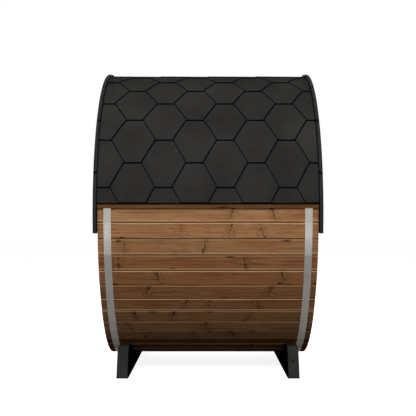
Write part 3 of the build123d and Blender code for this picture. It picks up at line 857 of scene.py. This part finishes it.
def flatTab(outline):
    # a sheet of felt with a dark rim round its upper face: bare bitumen and painted shadow
    bm = bmesh.new()
    face = bm.faces.new([bm.verts.new((x, y, 0)) for x, y in outline])
    grown = bmesh.ops.extrude_face_region(bm, geom=[face])
    lifted = [item for item in grown["geom"] if isinstance(item, bmesh.types.BMVert)]
    bmesh.ops.translate(bm, verts=lifted, vec=(0, 0, shingle["thickness"]))
    top = [item for item in grown["geom"] if isinstance(item, bmesh.types.BMFace)]
    bmesh.ops.inset_region(bm, faces=top, thickness=shingle["rim"], depth=0)
    inner = {vert for face in top for vert in face.verts}
    bmesh.ops.translate(bm, verts=list(inner), vec=(*shingle["shadowShift"], 0))
    for facet in bm.faces:
        facet.material_index = 0 if facet in top else 1
    return bm


def paintTone(bm, tone):
    layer = bm.verts.layers.float.new("tabTone")
    for vert in bm.verts:
        vert[layer] = tone


def makeTab(target, tone, middle, side, course):
    start = math.radians(shingle["firstAngle"] + course * shingle["stepAngle"])
    half = shingle["pitch"] / 2
    tip = shingle["tip"] / 2
    wide = half - tip
    rise = shingle["exposure"]
    cut = half - shingle["knife"]
    right = [(tip, 0), (wide, rise), (cut, rise), (cut, shingle["height"])]
    left = [(-x, y) for x, y in reversed(right)]
    bm = flatTab([(middle + x, y) for x, y in right + left])
    # cut off what reaches past the ends of the barrel, the eave and the crown
    eaveSlope = (eaveAngle - start) * roofBase
    crownSlope = (math.pi / 2 - start) * roofBase
    cutAway(bm, (halfLength, 0, 0), (1, 0, 0))
    cutAway(bm, (-halfLength, 0, 0), (-1, 0, 0))
    lowest = eaveSlope - (shingle["starterLip"] if course == -shingle["starters"] else 0)
    cutAway(bm, (0, lowest, 0), (0, -1, 0))
    cutAway(bm, (0, crownSlope, 0), (0, 1, 0))
    if not bm.faces:
        bm.free()
        return
    # painted shade: the strip just above the eave takes the black edge felt
    if lowest > 0:
        band = lowest + shingle["eaveShadeBand"]
        cutThrough(bm, (0, band, 0), (0, 1, 0))
        for face in bm.faces:
            if face.calc_center_median().y < band:
                face.material_index = 1
    foldLines(bm, max(0, lowest), min(shingle["height"], crownSlope), shingle["bend"], (0, 1, 0))
    bmesh.ops.remove_doubles(bm, verts=bm.verts, dist=snap)
    bendTab(bm, side, start)
    bmesh.ops.recalc_face_normals(bm, faces=bm.faces)
    paintTone(bm, tone)
    joinInto(target, bm)


def makeSlope(name, side, node, seed):
    draw = random.Random(seed)
    whole = bmesh.new()
    whole.verts.layers.float.new("tabTone")
    for course in range(-shingle["starters"], shingle["courses"]):
        offset = shingle["offset"] - (course % 2) * shingle["pitch"] / 2
        for n in range(-shingle["farthest"], shingle["farthest"] + 1):
            middle = offset + n * shingle["pitch"]
            if abs(middle) - shingle["pitch"] / 2 < halfLength:
                makeTab(whole, draw.random(), middle, side, course)
    newPiece(name, whole, [feltFinish, feltEdgeAndShadow], "bitumen_shingle", node)


# Ridge: caps of the same felt, bent over the crown and lapping along it
ridge = {
    "exposure": 0.30,
    "length": 0.325,
    "underCrown": 0.0030,     # the slopes' felt under the cap, at the crown and at the cap's sides
    "underSide": 0.0049,
    "bend": 0.025,
}


def makeRidge(seed):
    draw = random.Random(seed)
    whole = bmesh.new()
    whole.verts.layers.float.new("tabTone")
    count = round(2 * halfLength / ridge["exposure"])
    for n in range(count):
        start = -halfLength + n * ridge["exposure"]
        sides = [(start, -ridgeHalf), (start + ridge["length"], -ridgeHalf)]
        bm = flatTab(sides + [(x, -y) for x, y in reversed(sides)])
        cutAway(bm, (halfLength, 0, 0), (1, 0, 0))
        foldLines(bm, -ridgeHalf, ridgeHalf, ridge["bend"], (0, 1, 0))
        for vert in bm.verts:
            angle = vert.co.y / deckRadius
            aside = (vert.co.y / ridgeHalf) ** 2
            under = ridge["underCrown"] + (ridge["underSide"] - ridge["underCrown"]) * aside
            lift = shingle["thickness"] * (1 - (vert.co.x - start) / ridge["exposure"])
            radius = roofBase + under + max(lift, 0) + vert.co.z
            vert.co.y = radius * math.sin(angle)
            vert.co.z = axisHeight + radius * math.cos(angle)
        bmesh.ops.recalc_face_normals(bm, faces=bm.faces)
        paintTone(bm, draw.random())
        joinInto(whole, bm)
    newPiece("ridgeCaps", whole, [feltFinish, feltEdgeAndShadow], "bitumen_shingle", "roof_ridge")


feltFinish = makeFelt()
feltEdgeAndShadow = makeFeltEdgeAndShadow()
makeSlope("shinglesFront", -1, "roof_covering_front", seed=11)
makeSlope("shinglesBack", 1, "roof_covering_back", seed=12)
makeRidge(seed=13)

# Screws: pan heads with a driver recess, on the hinges and the cradles. The top, the margin round the
# recess and the slant of its wall are shares of a head's radius.
screw = {"height": 0.002, "sides": 12, "top": 0.72, "margin": 0.34, "slant": 0.04, "recess": 0.0011}
cradleScrew = {"splay": 0.075, "height": 0.095, "radius": 0.0058}
hingeScrew = {"aside": 0.0185, "up": 0.030, "radius": 0.0032}
hinge = {"count": 3, "height": 0.09, "thickness": 0.0025}


def makeScrew(target, place, direction, radius):
    bm = bmesh.new()
    height = screw["height"]
    top = radius * screw["top"]
    sides = screw["sides"]
    bmesh.ops.create_cone(bm, cap_ends=True, segments=sides, radius1=radius, radius2=top, depth=height)
    bmesh.ops.translate(bm, verts=bm.verts, vec=(0, 0, height / 2))
    face = max(bm.faces, key=lambda face: face.calc_center_median().z)
    bmesh.ops.inset_region(bm, faces=[face], thickness=radius * screw["margin"], depth=0)
    bmesh.ops.inset_region(bm, faces=[face], thickness=radius * screw["slant"], depth=-screw["recess"])
    turn = Vector(direction).to_track_quat("Z", "Y").to_matrix()
    bmesh.ops.rotate(bm, verts=bm.verts, cent=(0, 0, 0), matrix=turn)
    bmesh.ops.translate(bm, verts=bm.verts, vec=place)
    joinInto(target, bm)


def makeCradleScrews():
    whole = bmesh.new()
    lean = cradleScrew["splay"] / cradleHigh.z
    rise = cradleScrew["height"] - cradleLow.z
    # one on the right cradle in front and one on the left cradle behind
    for side in (-1, 1):
        middle = side * (cradleLow.x + cradleHigh.x) / 2
        place = (middle, -side * (cradleHigh.y - lean * rise), cradleScrew["height"])
        makeScrew(whole, place, (0, -side, lean), cradleScrew["radius"])
    newPiece("cradleScrews", whole, [finishes["screw"]], "cradle_paint")


def makeHingeScrews():
    whole = bmesh.new()
    low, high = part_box("door_hinges")
    plate = low.x + hinge["thickness"]
    spacing = (high.z - low.z - hinge["height"]) / (hinge["count"] - 1)
    joint = (low.y + high.y) / 2
    for n in range(hinge["count"]):
        middle = low.z + hinge["height"] / 2 + n * spacing
        for aside in (-1, 1):
            for up in (-1, 1):
                place = (plate, joint + aside * hingeScrew["aside"], middle + up * hingeScrew["up"])
                makeScrew(whole, place, (1, 0, 0), hingeScrew["radius"])
    newPiece("hingeScrews", whole, [finishes["steel"]], "hinge_steel")


makeCradleScrews()
makeHingeScrews()
